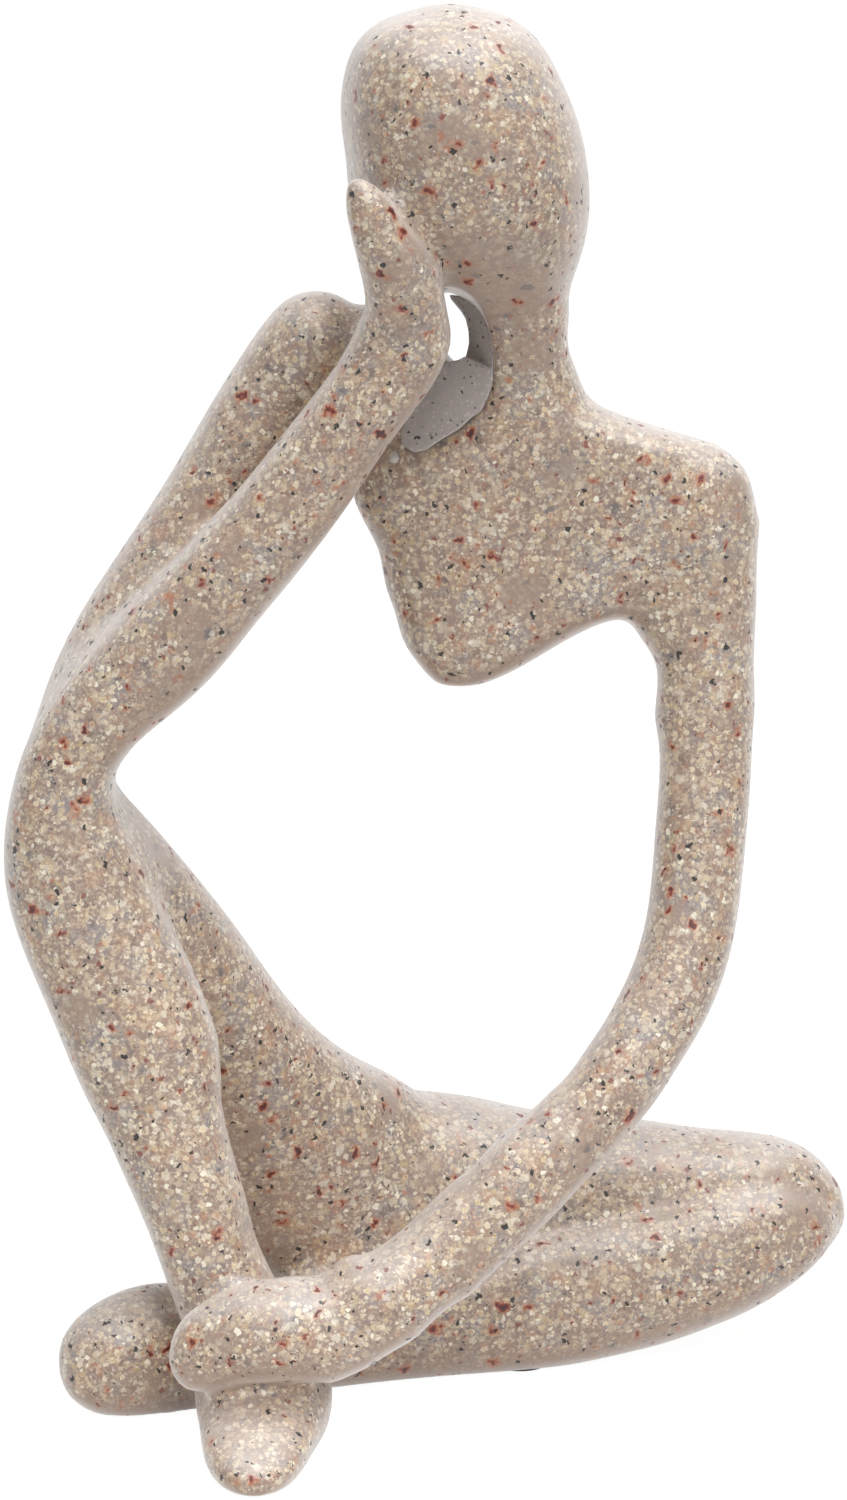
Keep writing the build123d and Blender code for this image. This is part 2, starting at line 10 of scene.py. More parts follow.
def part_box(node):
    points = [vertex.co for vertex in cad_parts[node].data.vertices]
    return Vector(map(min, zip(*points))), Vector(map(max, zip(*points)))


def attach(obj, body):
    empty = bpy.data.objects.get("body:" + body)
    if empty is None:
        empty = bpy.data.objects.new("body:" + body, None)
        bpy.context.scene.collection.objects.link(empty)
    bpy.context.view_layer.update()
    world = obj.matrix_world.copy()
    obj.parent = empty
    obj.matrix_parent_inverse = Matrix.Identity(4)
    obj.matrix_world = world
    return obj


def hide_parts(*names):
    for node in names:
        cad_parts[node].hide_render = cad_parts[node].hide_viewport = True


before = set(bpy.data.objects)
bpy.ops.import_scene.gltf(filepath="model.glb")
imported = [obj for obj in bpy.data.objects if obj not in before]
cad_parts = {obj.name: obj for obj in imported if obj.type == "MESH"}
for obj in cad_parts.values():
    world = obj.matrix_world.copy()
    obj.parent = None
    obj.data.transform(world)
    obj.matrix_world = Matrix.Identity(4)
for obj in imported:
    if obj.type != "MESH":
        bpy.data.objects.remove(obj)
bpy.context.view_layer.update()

bl_info = {
    "name": "Seated Thinker Statue",
    "version": (1, 0, 0),
    "blender": (4, 5, 0),
    "location": "View3D > Sidebar > Statue",
    "description": "Dresses the cast resin figure: soft skin, sand resin, filler, glue, pads and the studio",
    "category": "Object",
}

MM = 0.001
CASTINGS = ("upper_body", "right_arm", "raised_leg", "folded_leg")
PADS = ("foot_pad", "ankle_pad", "knee_pad", "hip_pad")
DOWELS = ("shoulder_dowel", "elbow_dowel", "hip_dowel", "hand_dowel", "ankle_dowel")

# Lengths in the tables below are in millimetres.

# Gap over which a casting's triangles are joined up
WELD = 0.03

# Grid on which each casting is laid out alone, and how far all of them are swollen before they become one
# skin and shrunk after it, which closes thin gaps
FIRST_GRID = 0.5
SWELL = 0.22

# Smoothing passes before and after the creases are filled, and the outward move at which a crease counts
# as one
FIRST_PASSES = 3
LAST_PASSES = 6
CREASE_DEPTH = 0.12

# Places where a crease stays crisp: middle, radius and the share of the filling that is left. They are
# the neck, the hand on the cheek, the breast, the left forearm on the lap and the folded leg's groove
CRISP = (
    ((2.4, -6.0, 138.7), 15.0, 0.0),
    ((-6.0, -15.0, 164.0), 19.0, 0.15),
    ((-9.0, -6.0, 125.0), 12.0, 0.30),
    ((-2.0, -8.0, 32.0), 20.0, 0.0),
    ((22.0, 16.5, 22.5), 20.0, 0.0),
)

# Places where the skin is relaxed once more, middle and radius: hips, inner elbow, left shoulder
RELAXED = (((-3.6, 22.0, 38.0), 16.0), ((-43.0, -8.0, 89.5), 9.0), ((31.0, -1.0, 119.0), 22.0))

# How far the left forearm and hand sag below the casting's plain form: place across, the limb's lower and
# upper edge there, then how far each of the two edges drops. Nothing above the last height moves
SAG = (
    (-33, 12, 21, 1.0, 1.0),
    (-26, 10.5, 26, -1.5, 1.3),
    (-19, 12, 28, 0.0, 2.6),
    (-14, 14.5, 32.5, 3.0, 6.0),
    (-9, 18, 35.5, 4.4, 7.6),
    (-1, 23.5, 40, 5.0, 5.6),
    (4.5, 28, 43.5, 6.3, 4.7),
    (9.5, 31, 45.5, 4.6, 1.7),
    (15, 35, 48, 3.4, 0.0),
    (25, 43, 63, 0.5, 0.0),
    (30, 47, 70, 0.0, 0.0),
)
ARM_TOP = 66.0

# How far the shin's inner edge is drawn in at each height, the depths between which the thigh behind goes
# over into the shin, the shin's middle at two heights, and the distance from it at which the edge moves
# in full
SHIN_WAIST = ((16, 0.0), (22, 1.8), (27, 2.8), (40, 2.5), (46, 2.5), (54, 0.0))
SHIN_BACK = (-1.0, -6.0)
SHIN_MIDDLE = ((16, -25.0), (54, -38.0))
SHIN_SIDE = 7.0

# How far the folded leg's groove lies above the casting's plain form, by place across, and the heights
# between which the leg is lifted
GROOVE_LIFT = ((4, 0.0), (12, 2.6), (38, 3.0), (48, 2.0), (56, 0.0))
GROOVE_SPAN = (2.0, 28.5)

# Stretches where two limbs of one casting, or a hand and its fingers, are fused by a web: casting, height
# of the closed and of the fading end, and the size that is left at the fading end. Then the slices in a
# web, and how far each slice reaches into the next
WEBS = (("right_arm", 88.0, 120.0, 0.5), ("raised_leg", 89.5, 63.0, 0.5), ("right_arm", 172.0, 155.0, 1.0))
WEB_SLICES = 12
SLICE_REACH = 1.3

# Plugs that close the recesses over the pads: margin round the pad, thickness and height of the middle.
# The skin ends this far above the table
PLUG_MARGIN = 0.6
PLUG_THICKNESS = 1.4
PLUG_HEIGHT = 1.0
SKIN_FOOT = 0.3

# Middle and normal of each flat joint between two castings: elbow, right shoulder, hip
SEAMS = (
    ((-49.0, -4.0, 88.7), (0, 0, 1)),
    ((-4.3, 7.0, 139.6), (-0.82, 0.10, 0.57)),
    ((-14.7, 20.1, 30.0), (0.79, 0.39, -0.48)),
)

# Rounds of the vote that straightens the borders, and the weight of a face's own casting in it
VOTES = 3
OWN_VOTE = 1.5

# The filler's skin grid and smoothing passes, and the glue drop's share of its box and its taper to the
# top
FILLER_GRID = 0.25
FILLER_PASSES = 3
DROP_SHARE = 0.98
DROP_TAPER = 0.28

# Layers of grains in the resin: spacing in chip sizes, share of the cells that hold a grain, smallest and
# largest radius and softness of the rim in cells, an offset that sets the layers apart, and how far a
# grain covers the resin
LAYERS = {
    "deep": (1.35, 0.85, 0.35, 0.85, 0.40, 3.7, 0.55),
    "smoky": (2.5, 0.16, 0.20, 0.52, 0.30, 9.1, 0.65),
    "grain": (1.0, 0.72, 0.30, 0.68, 0.14, 0.0, 1.0),
    "dust": (0.66, 0.22, 0.25, 0.60, 0.22, 2.2, 0.50),
    "halo": (3.4, 0.50, 0.18, 0.50, 0.30, 5.3, 0.80),
    "blush": (2.2, 0.20, 0.10, 0.50, 0.40, 8.8, 0.60),
    "red": (3.4, 0.50, 0.09, 0.28, 0.09, 5.3, 0.90),
    "crumb": (1.6, 0.14, 0.12, 0.42, 0.18, 6.6, 0.75),
    "dark": (1.8, 0.52, 0.06, 0.31, 0.06, 7.9, 0.97),
}

# The same for the grey filler, with the spacing in millimetres
FILLER_LAYERS = {
    "pale": (0.55, 0.60, 0.15, 0.55, 0.25, 1.1, 0.60),
    "dark": (0.62, 0.42, 0.10, 0.42, 0.12, 4.4, 0.90),
}

# Outlines of the grains, in cells: the scale on which they wander and how far, and the width of the gap
# between two. Then the factor that makes a second random number of a grain's first one
WANDER_SCALE = 1.7
WANDER = 1.1
GAP_WIDTH = (0.01, 0.09)
SHUFFLE = 7.3

# Colours of the common chips, each from this place on a random number's way from 0 to 1
PALETTE = ((0.0, "cream"), (0.30, "ivory"), (0.50, "straw"), (0.64, "peach"), (0.76, "taupe"),
           (0.86, "cream"))

# How dark a gap is, and how far the chips and the fine cloud stand out, as shares of the relief's depth
GAP_SHADE = 0.55
CHIP_RELIEF = 0.6
FINE_RELIEF = 0.8

# Soft random clouds: size, detail, and an offset in metres that sets them apart
CLOUDS = {
    "bare": (9.0, 3.0, (0, 0, 0)),
    "cool": (5.0, 3.0, (0.3, 0, 0)),
    "warm": (3.2, 3.0, (0.7, 0, 0)),
    "fine": (0.45, 3.0, (0, 0.3, 0)),
    # Patches in which the painted sheen on the top faces is stronger
    "painted_sheen": (12.0, 3.0, (0, 0, 0.4)),
    "putty": (0.7, 4.0, (0, 0, 0)),
    "haze": (0.8, 2.0, (0, 0, 0)),
    "film": (2.0, 4.0, (0, 0, 0)),
    "moulded": (0.25, 2.0, (0, 0, 0)),
    "scratch": (0.3, 3.0, (0, 0, 0)),
}

# Spans over which a value turns into a share: the value's two ends, then the share at each of them. A
# cloud's own span has its name. The normal's height gives the painted shade on undersides and the painted
# sheen on top ("topside"), and the angle of view gives the painted reflection at flat angles ("edge")
SPANS = {
    "bare": (0.56, 0.68, 0.0, 0.75),
    # Painted shade: faces that look down lose their chips
    "painted_underside_shade": (-0.05, -0.65, 0.0, 0.85),
    "chips_left": (0.0, 1.0, 1.0, 0.10),
    "cool": (0.50, 0.64, 0.0, 1.0),
    "warm": (0.50, 0.66, 0.0, 0.40),
    "fine": (0.40, 0.70, 0.0, 0.45),
    "fine_roughness": (0.3, 0.7, 0.40, 0.52),
    "tone": (0.0, 1.0, 0.32, 1.0),
    "rim": (0.35, 0.75, 0.0, 0.45),
    "heart": (0.25, 0.75, 0.85, 0.0),
    # Painted sheen on the top faces and painted reflection at flat angles
    "topside": (0.30, 0.95, 0.0, 0.36),
    "painted_sheen": (0.30, 0.60, 0.35, 1.0),
    "edge": (0.32, 0.95, 0.0, 0.55),
    "putty": (0.3, 0.7, 0.0, 1.0),
    "haze": (0.4, 0.7, 0.0, 0.4),
    "haze_roughness": (0.3, 0.8, 0.03, 0.14),
    "film": (0.45, 0.8, 0.0, 0.35),
    "film_roughness": (0.3, 0.8, 0.62, 0.85),
    "scratch": (0.4, 0.7, 0.0, 0.3),
    "scratch_roughness": (0.3, 0.7, 0.25, 0.45),
}

# Screen colours of small details
FILLER_GRAIN = (184, 175, 170)
FILLER_CHIP = (216, 206, 200)
FILLER_SPECK = (30, 24, 26)
GLUE_HAZE = (222, 214, 202)
PAD_DUST = (96, 92, 88)
STEEL_SCRATCH = (120, 118, 116)
WHITE = (1, 1, 1, 1)

# The table: its width in metres, the strength at which it shows as white, and the share of that glow, the
# rest being the table as it is lit
TABLE_WIDTH = 4.0
TABLE_GLOW = 1.17
GLOW_SHARE = 0.82

# Places and sizes of the lamps in metres. The narrow one is aimed above the foot's pad, and its angle is
# in degrees
KEY_PLACE, KEY_SIZE = (0.16, -0.20, 1.12), 1.1
FILL_PLACE, FILL_SIZE = (0.45, -1.0, 0.50), 0.8
SPOT_PLACE, SPOT_SIZE = (0.05, -0.50, 0.42), 0.08
SPOT_ANGLE = 15
SPOT_AIM = 12.0

# Height of the camera's frame
FRAME_HEIGHT = 36


def paint(red, green, blue):
    """A screen colour, 0 to 255, as Blender's linear colour."""
    linear = []
    for value in (red, green, blue):
        share = value / 255
        linear.append(share / 12.92 if share <= 0.04045 else ((share + 0.055) / 1.055) ** 2.4)
    return tuple(linear)


def colour(name, description, default):
    """A colour property whose default is given as a screen colour."""
    return FloatVectorProperty(name=name, description=description, subtype="COLOR", default=paint(*default),
                               min=0, max=1)


class CastingSizes(bpy.types.PropertyGroup):
    voxel: FloatProperty(name="Skin grid", description="Spacing of the castings' skin", default=0.7 * MM,
                         min=0.4 * MM, max=2 * MM, unit="LENGTH")
    crease_passes: IntProperty(name="Crease softness", description="How far creases are filled",
                               default=34, min=0, max=200)
    seam_reach: FloatProperty(name="Seam reach", description="How far from its middle a joint is cut",
                              default=14 * MM, min=0, unit="LENGTH")


class ResinFinish(bpy.types.PropertyGroup):
    binder: colour("Binder", "Brown-grey resin between the chips", (152, 130, 120))
    cool_binder: colour("Cool binder", "Bluish clouds in the resin", (148, 138, 138))
    gap: colour("Gap", "Shadow between touching chips", (92, 76, 66))
    # Bare resin also stands in as painted shade on the undersides
    bare: colour("Bare resin", "Resin that has floated up and hides the chips", (164, 142, 128))
    # Painted sheen on the top faces and painted reflection on the skin seen at a flat angle
    painted_sheen: colour("Painted sheen", "The resin's pale skin where it is seen at a flat angle", (240, 232, 227))
    cream: colour("Cream chip", "The commonest sand chip", (226, 207, 177))
    ivory: colour("Ivory chip", "The palest sand chip", (246, 238, 218))
    straw: colour("Straw chip", "The yellowest sand chip", (214, 189, 144))
    peach: colour("Peach chip", "The pinkest sand chip", (190, 148, 116))
    amber: colour("Amber halo", "Resin stained around a rust chip", (186, 108, 68))
    taupe: colour("Taupe chip", "The darkest of the common chips", (120, 98, 86))
    rust: colour("Rust chip", "Scattered red-brown chips", (122, 22, 8))
    soot: colour("Dark speck", "Scattered dark mineral specks", (14, 8, 8))
    slate: colour("Slate chip", "Scattered blue-grey chips", (92, 94, 102))
    chip: FloatProperty(name="Chip size", description="Spacing of the sand chips", default=0.80 * MM,
                        min=0.2 * MM, unit="LENGTH")


class FillerFinish(bpy.types.PropertyGroup):
    putty: colour("Putty", "Grey filler trimmed flat beside the neck", (174, 167, 165))
    glue: colour("Glue", "Clear cured glue", (250, 248, 244))
    rubber: colour("Rubber", "Pads under the castings", (40, 40, 41))
    steel: colour("Steel", "Dowels across the joints", (176, 178, 180))
    proud: FloatProperty(name="Filler step", description="How far the filler stands out of the castings",
                         default=0.08 * MM, min=0, unit="LENGTH")


class StudioSizes(bpy.types.PropertyGroup):
    distance: FloatProperty(name="Camera distance", description="From the camera to the figure",
                            default=850 * MM, unit="LENGTH")
    elevation: FloatProperty(name="Camera elevation", description="Angle above the table",
                             default=math.radians(13), subtype="ANGLE")
    lens: FloatProperty(name="Lens", description="Focal length for a 36 mm frame height", default=153.7)
    target: FloatVectorProperty(name="Camera target", description="Point that the camera looks at",
                                default=(-1.78 * MM, -2.93 * MM, 91.4 * MM), subtype="TRANSLATION")
    floor: colour("Floor", "Table top and backdrop", (246, 245, 244))
    key: FloatProperty(name="Key light", description="Power of the large light above", default=13.0)
    fill: FloatProperty(name="Fill light", description="Power of the light beside the camera", default=1.0)
    foot: FloatProperty(name="Foot light", description="Power of the narrow light on the foot", default=7.5)
    ambient: FloatProperty(name="Ambient", description="Strength of the even studio light", default=0.23)


def context_object():
    """The active object, which an operator has just made or changed."""
    return bpy.context.view_layer.objects.active


def select_only(*objects):
    """Deselects everything, then selects these and makes the first one active."""
    bpy.ops.object.select_all(action="DESELECT")
    for item in objects:
        item.select_set(True)
    bpy.context.view_layer.objects.active = objects[0]


def new_piece(name, mesh):
    """A new object with this mesh, selected alone."""
    piece = bpy.data.objects.new(name, mesh)
    bpy.context.scene.collection.objects.link(piece)
    select_only(piece)
    return piece


def edit_all(piece):
    """Opens the piece in edit mode with all of it selected."""
    select_only(piece)
    bpy.ops.object.mode_set(mode="EDIT")
    bpy.ops.mesh.select_all(action="SELECT")


def copy_of(name):
    """A free copy of a CAD node with its triangles joined up."""
    twin = new_piece(name + "_copy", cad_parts[name].data.copy())
    twin.data.materials.clear()
    edit_all(twin)
    bpy.ops.mesh.remove_doubles(threshold=WELD * MM)
    bpy.ops.mesh.mark_sharp(clear=True)
    bpy.ops.object.mode_set(mode="OBJECT")
    bpy.ops.mesh.customdata_custom_splitnormals_clear()
    bpy.ops.object.shade_smooth()
    return twin


def middle_of(name):
    """The middle of a CAD node's box."""
    low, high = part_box(name)
    return (Vector(low) + Vector(high)) / 2


def points_of(piece):
    """The piece's vertices as an array."""
    flat = np.empty(len(piece.data.vertices) * 3)
    piece.data.vertices.foreach_get("co", flat)
    return flat.reshape(-1, 3)


def search_tree(piece):
    """A tree that finds the piece's nearest face."""
    mesh = piece.data
    corners = [tuple(face.vertices) for face in mesh.polygons]
    return BVHTree.FromPolygons([point.co for point in mesh.vertices], corners)


def put_points(piece, points):
    """Writes an array back to the piece's vertices."""
    piece.data.vertices.foreach_set("co", points.ravel())
    piece.data.update()


def smooth(piece, passes):
    """Relaxes the piece's skin with an applied Smooth modifier."""
    relax = piece.modifiers.new("Relax", "SMOOTH")
    relax.factor = 0.5
    relax.iterations = passes
    select_only(piece)
    bpy.ops.object.modifier_apply(modifier=relax.name)


def regrid(piece, spacing):
    """Replaces the piece's skin with an even grid of faces."""
    piece.data.remesh_voxel_size = spacing
    piece.data.remesh_voxel_adaptivity = 0
    piece.data.use_remesh_preserve_attributes = False
    select_only(piece)
    bpy.ops.object.voxel_remesh()


def swell(piece, amount):
    """Moves the piece's skin outwards, or inwards where the amount is negative."""
    push = piece.modifiers.new("Swell", "DISPLACE")
    push.strength = amount
    push.mid_level = 0
    select_only(piece)
    bpy.ops.object.modifier_apply(modifier=push.name)


def keep_largest(piece):
    """Drops every loose shell but the largest, such as the dowels' bores inside."""
    edit_all(piece)
    bpy.ops.mesh.separate(type="LOOSE")
    bpy.ops.object.mode_set(mode="OBJECT")
    shells = sorted(bpy.context.selected_objects, key=lambda shell: len(shell.data.vertices))
    for shell in shells[:-1]:
        bpy.data.objects.remove(shell)
    return shells[-1]


def finish_piece(piece, body, material, slot, *nodes):
    """Gives the piece its finish and puts it in its nodes' place on their body."""
    piece.data.materials.clear()
    piece.data.materials.append(material)
    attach(piece, body)
    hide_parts(*nodes)


# Shader helpers, and the group of grains that two materials use


def node(tree, kind, **values):
    """A shader node with its properties and the inputs that are given by name or number."""
    made = tree.nodes.new(kind)
    for name, value in values.items():
        if name == "inputs":
            for key, given in value.items():
                if isinstance(given, bpy.types.NodeSocket):
                    tree.links.new(given, made.inputs[key])
                else:
                    made.inputs[key].default_value = given
        else:
            setattr(made, name, value)
    return made


def math_node(tree, operation, first, second=0.0):
    """The result of one step of arithmetic."""
    made = node(tree, "ShaderNodeMath", operation=operation, inputs={0: first, 1: second})
    return made.outputs[0]


def times(tree, first, second):
    """Two values multiplied."""
    return math_node(tree, "MULTIPLY", first, second)


def between(tree, value, low, high, to_low=0.0, to_high=1.0):
    """Value rescaled from one range to another, smoothly and without overshoot."""
    made = node(tree, "ShaderNodeMapRange", interpolation_type="SMOOTHSTEP", clamp=True,
                inputs={"Value": value, "From Min": low, "From Max": high,
                        "To Min": to_low, "To Max": to_high})
    return made.outputs["Result"]


def span(tree, value, name):
    """The share that a value gives over one of the named spans."""
    return between(tree, value, *SPANS[name])


def blend(tree, share, first, second):
    """The first colour with a share of the second over it."""
    made = node(tree, "ShaderNodeMix", data_type="RGBA", clamp_factor=True,
                inputs={0: share, 6: first, 7: second})
    return made.outputs[2]


def shade(rgb):
    """An opaque colour for a socket."""
    return (*rgb, 1.0)


def place_on(tree):
    """The place on the piece, in its object's coordinates."""
    return node(tree, "ShaderNodeTexCoord").outputs["Object"]


def new_group(name, inputs, outputs):
    """An empty shader node group with named sockets, its input node and its output node."""
    group = bpy.data.node_groups.new(name, "ShaderNodeTree")
    for label, kind, default in inputs:
        socket = group.interface.new_socket(label, in_out="INPUT", socket_type=kind)
        if default is not None:
            socket.default_value = default
    for label, kind in outputs:
        group.interface.new_socket(label, in_out="OUTPUT", socket_type=kind)
    return group, group.nodes.new("NodeGroupInput"), group.nodes.new("NodeGroupOutput")


def chips_group():
    """Grains of crushed stone: where they are, two random numbers for each, and their rims and gaps."""
    name = "Stone Chips"
    if name in bpy.data.node_groups:
        return bpy.data.node_groups[name]
    real, vector = "NodeSocketFloat", "NodeSocketVector"
    group, start, end = new_group(
        name,
        (("Vector", vector, None), ("Spacing", real, 0.001), ("Share", real, 0.6), ("Smallest", real, 0.2),
         ("Largest", real, 0.5), ("Softness", real, 0.1), ("Offset", real, 0.0), ("Cover", real, 1.0)),
        (("Mask", real), ("Cover", real), ("Pick", real), ("Tone", real), ("Rim", real), ("Gap", real)),
    )
    given = start.outputs
    per_length = math_node(group, "DIVIDE", 1.0, given["Spacing"])
    scaled = node(group, "ShaderNodeVectorMath", operation="SCALE",
                  inputs={0: given["Vector"], "Scale": per_length})
    moved = node(group, "ShaderNodeVectorMath", operation="ADD",
                 inputs={0: scaled.outputs[0], 1: given["Offset"]})
    ragged = node(group, "ShaderNodeTexNoise",
                  inputs={"Vector": moved.outputs[0], "Scale": WANDER_SCALE, "Detail": 2.0})
    centred = node(group, "ShaderNodeVectorMath", operation="SUBTRACT",
                   inputs={0: ragged.outputs["Color"], 1: (0.5, 0.5, 0.5)})
    pushed = node(group, "ShaderNodeVectorMath", operation="MULTIPLY_ADD",
                  inputs={0: centred.outputs[0], 1: (WANDER, WANDER, WANDER), 2: moved.outputs[0]})
    spot = {"Vector": pushed.outputs[0], "Scale": 1.0}
    cells = node(group, "ShaderNodeTexVoronoi", feature="F1", inputs=spot).outputs
    borders = node(group, "ShaderNodeTexVoronoi", feature="DISTANCE_TO_EDGE", inputs=spot).outputs
    dice = node(group, "ShaderNodeSeparateColor", inputs={0: cells["Color"]}).outputs
    there = math_node(group, "LESS_THAN", dice[2], given["Share"])
    growth = math_node(group, "SUBTRACT", given["Largest"], given["Smallest"])
    radius = math_node(group, "ADD", times(group, dice[1], growth), given["Smallest"])
    inner = math_node(group, "SUBTRACT", radius, given["Softness"])
    mask = times(group, between(group, cells["Distance"], inner, radius, 1.0, 0.0), there)
    results = {
        "Mask": mask,
        "Cover": times(group, mask, given["Cover"]),
        "Pick": dice[0],
        "Tone": math_node(group, "FRACT", times(group, dice[0], SHUFFLE)),
        "Rim": math_node(group, "DIVIDE", cells["Distance"], radius),
        "Gap": between(group, borders["Distance"], *GAP_WIDTH, 1.0, 0.0),
    }
    for label, result in results.items():
        group.links.new(result, end.inputs[label])
    return group


def chips(tree, place, size, layer):
    """The sockets of one layer of grains, spaced by its own share of the size."""
    spacing, share, smallest, largest, softness, offset, cover = layer
    made = node(tree, "ShaderNodeGroup", node_tree=chips_group(), inputs={
        "Vector": place, "Spacing": size * spacing, "Share": share, "Smallest": smallest, "Largest": largest,
        "Softness": softness, "Offset": offset, "Cover": cover})
    return made.outputs


def clouds(tree, place, name):
    """The noise of one of the named clouds, from 0 to 1."""
    size, detail, offset = CLOUDS[name]
    moved = node(tree, "ShaderNodeMapping", inputs={"Vector": place, "Location": offset})
    made = node(tree, "ShaderNodeTexNoise",
                inputs={"Vector": moved.outputs[0], "Scale": 1 / (size * MM), "Detail": detail})
    return made.outputs["Fac"]


def seen_rays(tree):
    """One for rays from the camera, off glossy surfaces and through clear ones, else zero."""
    rays = node(tree, "ShaderNodeLightPath").outputs
    other = math_node(tree, "MAXIMUM", rays["Is Glossy Ray"], rays["Is Transmission Ray"])
    return math_node(tree, "MAXIMUM", rays["Is Camera Ray"], other)


def new_material(name, settings):
    """A material, its node tree and its Principled surface with these values in its sockets."""
    material = bpy.data.materials.new(name)
    material.use_nodes = True
    tree = material.node_tree
    surface = tree.nodes["Principled BSDF"]
    for socket, value in settings.items():
        surface.inputs[socket].default_value = value
    return material, tree, surface


def add_bump(tree, height, strength, depth):
    """Raises the material's surface by the height, up to the depth."""
    bump = node(tree, "ShaderNodeBump",
                inputs={"Strength": strength, "Distance": depth * MM, "Height": height})
    tree.links.new(bump.outputs[0], tree.nodes["Principled BSDF"].inputs["Normal"])


def clouded(name, cloud, first, second, settings):
    """A material whose colour and roughness both follow one of the named clouds."""
    material, tree, surface = new_material(name, settings)
    noise = clouds(tree, place_on(tree), cloud)
    tint = blend(tree, span(tree, noise, cloud), shade(first), shade(paint(*second)))
    tree.links.new(tint, surface.inputs["Base Color"])
    tree.links.new(span(tree, noise, cloud + "_roughness"), surface.inputs["Roughness"])
    return material


def ramp(tree, value, stops):
    """A stepped colour ramp: each colour holds from its place to the next."""
    made = node(tree, "ShaderNodeValToRGB", inputs={0: value})
    made.color_ramp.interpolation = "CONSTANT"
    while len(made.color_ramp.elements) < len(stops):
        made.color_ramp.elements.new(0.5)
    for element, (place, rgb) in zip(made.color_ramp.elements, stops):
        element.position = place
        element.color = shade(rgb)
    return made.outputs["Color"]


def sand_resin(finish):
    """Polyester resin filled with crushed stone: pale chips in a clear-grey binder, rust and dark grains."""
    material, tree, surface = new_material("Sand Resin", {
        "Specular IOR Level": 0.12, "Coat Weight": 1.0, "Coat Roughness": 0.38, "Coat IOR": 1.55,
        "Subsurface Weight": 0.10, "Subsurface Radius": (1.0, 0.8, 0.6), "Subsurface Scale": 0.5 * MM})
    place = place_on(tree)
    normal = node(tree, "ShaderNodeNewGeometry").outputs["Normal"]
    upward = node(tree, "ShaderNodeSeparateXYZ", inputs={0: normal}).outputs["Z"]
    palette = [(start, getattr(finish, name)) for start, name in PALETTE]

    def cloud(name):
        """The share of one of the named clouds."""
        return span(tree, clouds(tree, place, name), name)

    def layer(name):
        """The sockets of one layer of grains."""
        return chips(tree, place, finish.chip, LAYERS[name])

    # Random patches where the binder has floated up and hides the chips, and painted shade on the undersides
    bare_and_underside_shade = math_node(tree, "MAXIMUM", cloud("bare"), span(tree, upward, "painted_underside_shade"))
    shown = span(tree, bare_and_underside_shade, "chips_left")
    tint = blend(tree, cloud("cool"), shade(finish.binder), shade(finish.cool_binder))
    tint = blend(tree, cloud("warm"), tint, shade(finish.peach))
    fine = clouds(tree, place, "fine")
    tint = blend(tree, span(tree, fine, "fine"), tint, shade(finish.cream))
    # Painted shade: the undersides take the bare resin's colour, as the random bare patches do
    tint = blend(tree, bare_and_underside_shade, tint, shade(finish.bare))
    # Chips deep in the binder and smoky ones, then the common chips at its surface with their rims and gaps
    deep = layer("deep")
    tint = blend(tree, times(tree, deep["Cover"], shown), tint, ramp(tree, deep["Pick"], palette))
    tint = blend(tree, layer("smoky")["Cover"], tint, shade(finish.slate))
    grain = layer("grain")
    pale = times(tree, times(tree, grain["Cover"], span(tree, grain["Tone"], "tone")), shown)
    tint = blend(tree, pale, tint, ramp(tree, grain["Pick"], palette))
    tint = blend(tree, times(tree, pale, span(tree, grain["Rim"], "rim")), tint, shade(finish.ivory))
    gap = times(tree, times(tree, grain["Cover"], grain["Gap"]), GAP_SHADE)
    tint = blend(tree, gap, tint, shade(finish.gap))
    tint = blend(tree, times(tree, layer("dust")["Cover"], shown), tint, shade(finish.ivory))
    for name in ("halo", "blush"):
        tint = blend(tree, layer(name)["Cover"], tint, shade(finish.amber))
    # Painted sheen on the top faces, in patches, and painted reflection where the skin is seen at a flat
    # angle: both whiten the pale chips, while the dark ones laid after them stay
    tint = blend(tree, times(tree, span(tree, upward, "topside"), cloud("painted_sheen")), tint, shade(finish.painted_sheen))
    edge = node(tree, "ShaderNodeLayerWeight", inputs={"Blend": 0.5}).outputs["Facing"]
    tint = blend(tree, span(tree, edge, "edge"), tint, shade(finish.painted_sheen))
    # Rust chips with their dark hearts, rust crumbs and dark specks
    red = layer("red")
    tint = blend(tree, red["Cover"], tint, shade(finish.rust))
    tint = blend(tree, times(tree, red["Mask"], span(tree, red["Rim"], "heart")), tint, shade(finish.soot))
    tint = blend(tree, layer("crumb")["Cover"], tint, shade(finish.rust))
    tint = blend(tree, layer("dark")["Cover"], tint, shade(finish.soot))
    tree.links.new(tint, surface.inputs["Base Color"])
    tree.links.new(span(tree, fine, "fine_roughness"), surface.inputs["Roughness"])
    relief = math_node(tree, "ADD", times(tree, pale, CHIP_RELIEF), times(tree, fine, FINE_RELIEF))
    add_bump(tree, relief, strength=0.30, depth=0.05)
    return material


def putty(finish):
    """Grey filler: fine-grained and matte, with pale grains and dark mineral specks."""
    material, tree, surface = new_material("Grey Filler", {"Roughness": 0.62})
    place = place_on(tree)
    grain = clouds(tree, place, "putty")
    tint = blend(tree, span(tree, grain, "putty"), shade(finish.putty), shade(paint(*FILLER_GRAIN)))
    for name, rgb in (("pale", FILLER_CHIP), ("dark", FILLER_SPECK)):
        tint = blend(tree, chips(tree, place, MM, FILLER_LAYERS[name])["Cover"], tint, shade(paint(*rgb)))
    tree.links.new(tint, surface.inputs["Base Color"])
    add_bump(tree, grain, strength=0.9, depth=0.14)
    return material


def clear_glue(finish):
    """Cured glue, clear with a faint haze in it."""
    return clouded("Clear Glue", "haze", finish.glue, GLUE_HAZE, {"Transmission Weight": 0.55, "IOR": 1.49})


